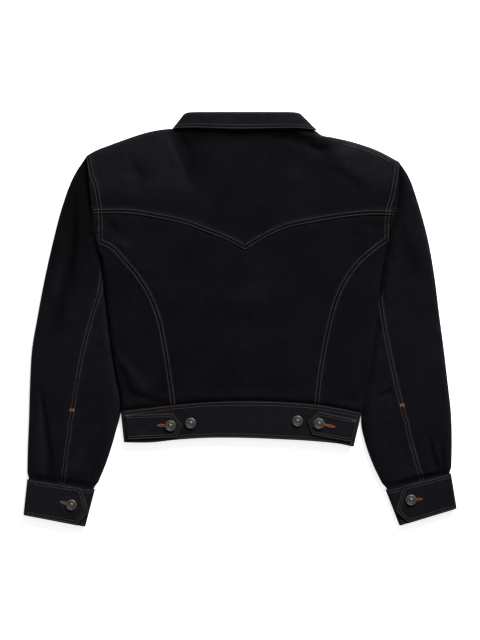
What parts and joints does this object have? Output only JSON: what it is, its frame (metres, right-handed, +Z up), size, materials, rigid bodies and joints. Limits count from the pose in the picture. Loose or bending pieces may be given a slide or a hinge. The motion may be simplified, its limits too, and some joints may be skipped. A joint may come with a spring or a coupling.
{
  "type": "denim jacket",
  "caption": "Cropped denim jacket laid flat on its front, with a pointed back yoke, turned collar, buttoned cuffs and a waistband with adjuster tabs",
  "frame": {"origin": "the middle of the jacket's outline, on the surface it lies on", "axes": "+Z up off the surface, +Y from the waist towards the collar, +X to the right as seen from above"},
  "size_m": [0.6912, 0.6624, 0.0181],
  "materials": {
    "denim": "near-black indigo twill, matt",
    "button_metal": "grey metal, softly worn"
  },
  "bodies": {
    "root": {"back_yoke": "denim", "back_centre": "denim", "back_side_left": "denim", "back_side_right": "denim", "front_left": "denim", "front_right": "denim", "sleeve_upper_left": "denim", "sleeve_upper_right": "denim", "sleeve_under_left": "denim", "sleeve_under_right": "denim", "cuff_left": "denim", "cuff_right": "denim", "waistband_back": "denim", "waistband_front_left": "denim", "waistband_front_right": "denim", "waist_tab_left": "denim", "waist_tab_right": "denim", "collar_fall": "denim", "collar_stand": "denim", "button_tab_left": "button_metal", "button_tab_right": "button_metal", "button_spare_left": "button_metal", "button_spare_right": "button_metal", "button_cuff_left": "button_metal", "button_cuff_right": "button_metal", "button_front_1": "button_metal", "button_front_2": "button_metal", "button_front_3": "button_metal", "button_front_4": "button_metal", "button_front_5": "button_metal", "button_front_6": "button_metal"}
  },
  "joints": []
}
